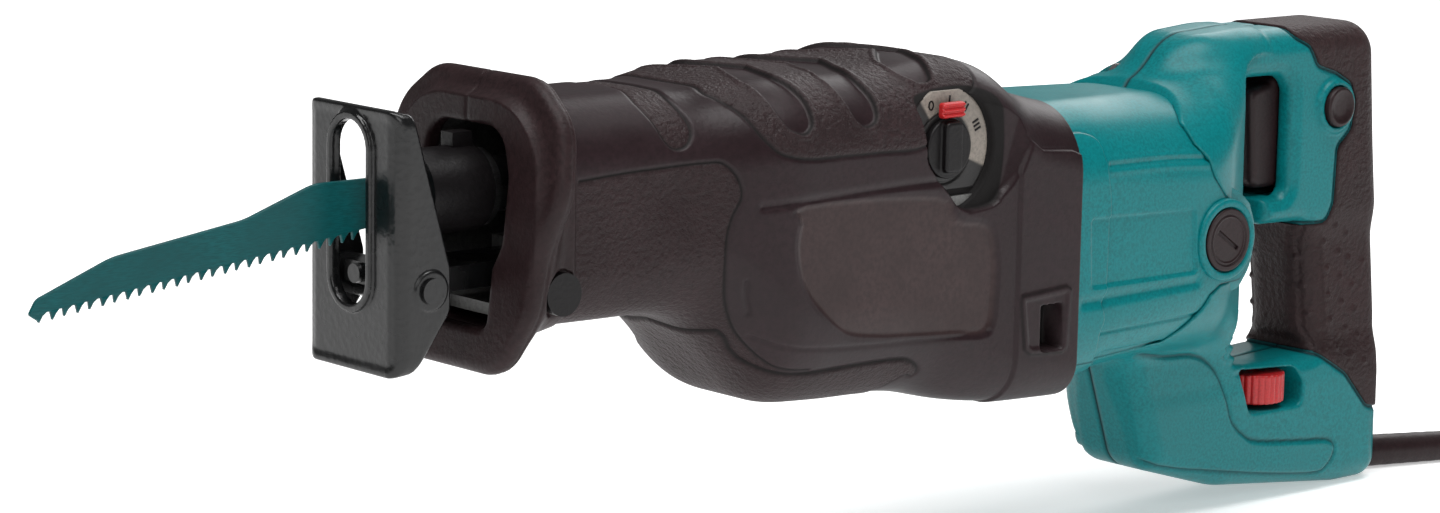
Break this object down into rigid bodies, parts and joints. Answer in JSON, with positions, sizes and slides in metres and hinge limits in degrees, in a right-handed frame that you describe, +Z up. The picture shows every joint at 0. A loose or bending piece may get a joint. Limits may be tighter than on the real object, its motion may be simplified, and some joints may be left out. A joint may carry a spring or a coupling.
{
  "type": "corded reciprocating saw",
  "caption": "Corded orbital reciprocating saw with a D-handle, rubber-booted gear housing, pivoting shoe and a toothed blade.",
  "frame": {"origin": "on the surface that the handle's foot stands on, under the middle of the tool's length", "axes": "+X from the blade's tip towards the handle, along the stroke; +Y towards the side without the mode lever; +Z up"},
  "size_m": [0.8327, 0.1354, 0.1921],
  "materials": {
    "teal_housing": "satin",
    "brown_rubber": "matte",
    "black_plastic": "satin",
    "guard_plastic": "matte",
    "red_plastic": "satin",
    "grey_plastic": "satin",
    "shoe_coat": "glossy",
    "blade_coat": "satin",
    "steel": "brushed",
    "cast_aluminium": "cast",
    "laminated_steel": "laminated",
    "copper": "segmented",
    "nickel": "plated"
  },
  "bodies": {
    "housing": {"guide_pins": "steel", "crank_bearing_upper": "steel", "crank_bearing_lower": "steel", "counterweight_rods": "steel", "gear_housing": "cast_aluminium", "gear_housing_cover": "cast_aluminium", "cover_screws": "steel", "housing_boot": "brown_rubber", "front_guard": "guard_plastic", "dial_plate": "grey_plastic", "front_bearing": "steel", "rear_bearing": "steel", "stator": "laminated_steel", "fan_baffle": "black_plastic", "motor_housing": "teal_housing", "brush_holders": "copper", "carbon_brushes": "black_plastic", "brush_caps": "black_plastic", "handle_left": "teal_housing", "handle_right": "teal_housing", "grip_cover": "brown_rubber", "handle_screws": "steel", "trigger_pin": "steel", "switch_body": "black_plastic", "speed_controller": "black_plastic", "cord_clamp": "black_plastic", "cord_guard": "guard_plastic", "power_cord": "brown_rubber", "cord_tail": "brown_rubber", "cord_coil": "brown_rubber", "power_plug": "guard_plastic", "plug_pins": "nickel"},
    "guide": {"guide_sleeve": "steel", "wiper_seal": "brown_rubber"},
    "slide": {"slider": "steel", "clamp_body": "steel", "clamp_pin": "steel", "clamp_spring": "steel", "blade": "blade_coat"},
    "collar": {"clamp_sleeve": "black_plastic"},
    "balance": {"counterweight": "steel"},
    "crank": {"crank_gear": "steel", "crank_roller": "steel"},
    "armature": {"armature_shaft": "steel", "armature_core": "laminated_steel", "commutator": "copper", "fan": "black_plastic"},
    "shoe_mount": {"shoe_bracket": "shoe_coat", "shoe_screw": "steel", "shoe_pivot_pin": "shoe_coat"},
    "shoe_body": {"shoe": "shoe_coat"},
    "shoe_lock": {"shoe_lock_button": "black_plastic"},
    "mode": {"mode_lever": "black_plastic"},
    "mode_catch": {"lever_button": "red_plastic"},
    "trigger_body": {"trigger": "black_plastic"},
    "lock_on": {"lock_on_button": "guard_plastic"},
    "speed": {"speed_wheel": "red_plastic"}
  },
  "joints": [
    {"name": "orbital_swing", "type": "hinge", "parent": "housing", "child": "guide", "pos_m": [-0.0687, 0, 0.1545], "axis": [0, 1, 0], "range_deg": [0, 1.2]},
    {"name": "blade_stroke", "type": "slide", "parent": "guide", "child": "slide", "axis": [1, 0, 0], "range_m": [0, 0.032]},
    {"name": "clamp_turn", "type": "hinge", "parent": "slide", "child": "collar", "pos_m": [-0.1517, 0, 0.1545], "axis": [1, 0, 0], "range_deg": [0, 40], "stiffness_Nm_per_rad": 0.3, "springref_deg": -11.46},
    {"name": "balance_stroke", "type": "slide", "parent": "housing", "child": "balance", "axis": [1, 0, 0], "range_m": [-0.016, 0]},
    {"name": "crank_spin", "type": "hinge", "parent": "housing", "child": "crank", "pos_m": [-0.0117, 0, 0.0995], "axis": [0, 0, 1], "continuous": true},
    {"name": "armature_spin", "type": "hinge", "parent": "housing", "child": "armature", "pos_m": [0.1303, 0, 0.1115], "axis": [1, 0, 0], "continuous": true},
    {"name": "shoe_slide", "type": "slide", "parent": "housing", "child": "shoe_mount", "axis": [1, 0, 0], "range_m": [-0.02, 0.006]},
    {"name": "shoe_tilt", "type": "hinge", "parent": "shoe_mount", "child": "shoe_body", "pos_m": [-0.1732, 0, 0.1275], "axis": [0, 1, 0], "range_deg": [-25, 15]},
    {"name": "shoe_lock_press", "type": "slide", "parent": "housing", "child": "shoe_lock", "axis": [0, 1, 0], "range_m": [0, 0.0025], "stiffness_N_per_m": 800, "springref_m": -0.001},
    {"name": "mode_turn", "type": "hinge", "parent": "housing", "child": "mode", "pos_m": [0.0338, -0.042, 0.1575], "axis": [0, 1, 0], "range_deg": [0, 90]},
    {"name": "mode_catch_press", "type": "slide", "parent": "mode", "child": "mode_catch", "axis": [0, 1, 0], "range_m": [0, 0.0014], "stiffness_N_per_m": 800, "springref_m": -0.001},
    {"name": "trigger_pull", "type": "hinge", "parent": "housing", "child": "trigger_body", "pos_m": [0.2493, 0, 0.167], "axis": [0, -1, 0], "range_deg": [0, 8], "stiffness_Nm_per_rad": 1.5, "springref_deg": -5.73},
    {"name": "lock_on_press", "type": "slide", "parent": "housing", "child": "lock_on", "axis": [0, 1, 0], "range_m": [0, 0.0035], "stiffness_N_per_m": 600, "springref_m": -0.001},
    {"name": "speed_turn", "type": "hinge", "parent": "housing", "child": "speed", "pos_m": [0.2378, -0.0086, 0.0435], "axis": [0, 0, 1], "range_deg": [-150, 150]}
  ],
  "couplings": [
    {"joint": "balance_stroke", "follows": "blade_stroke", "ratio": -0.5},
    {"joint": "crank_spin", "follows": "armature_spin", "ratio": -0.2}
  ]
}
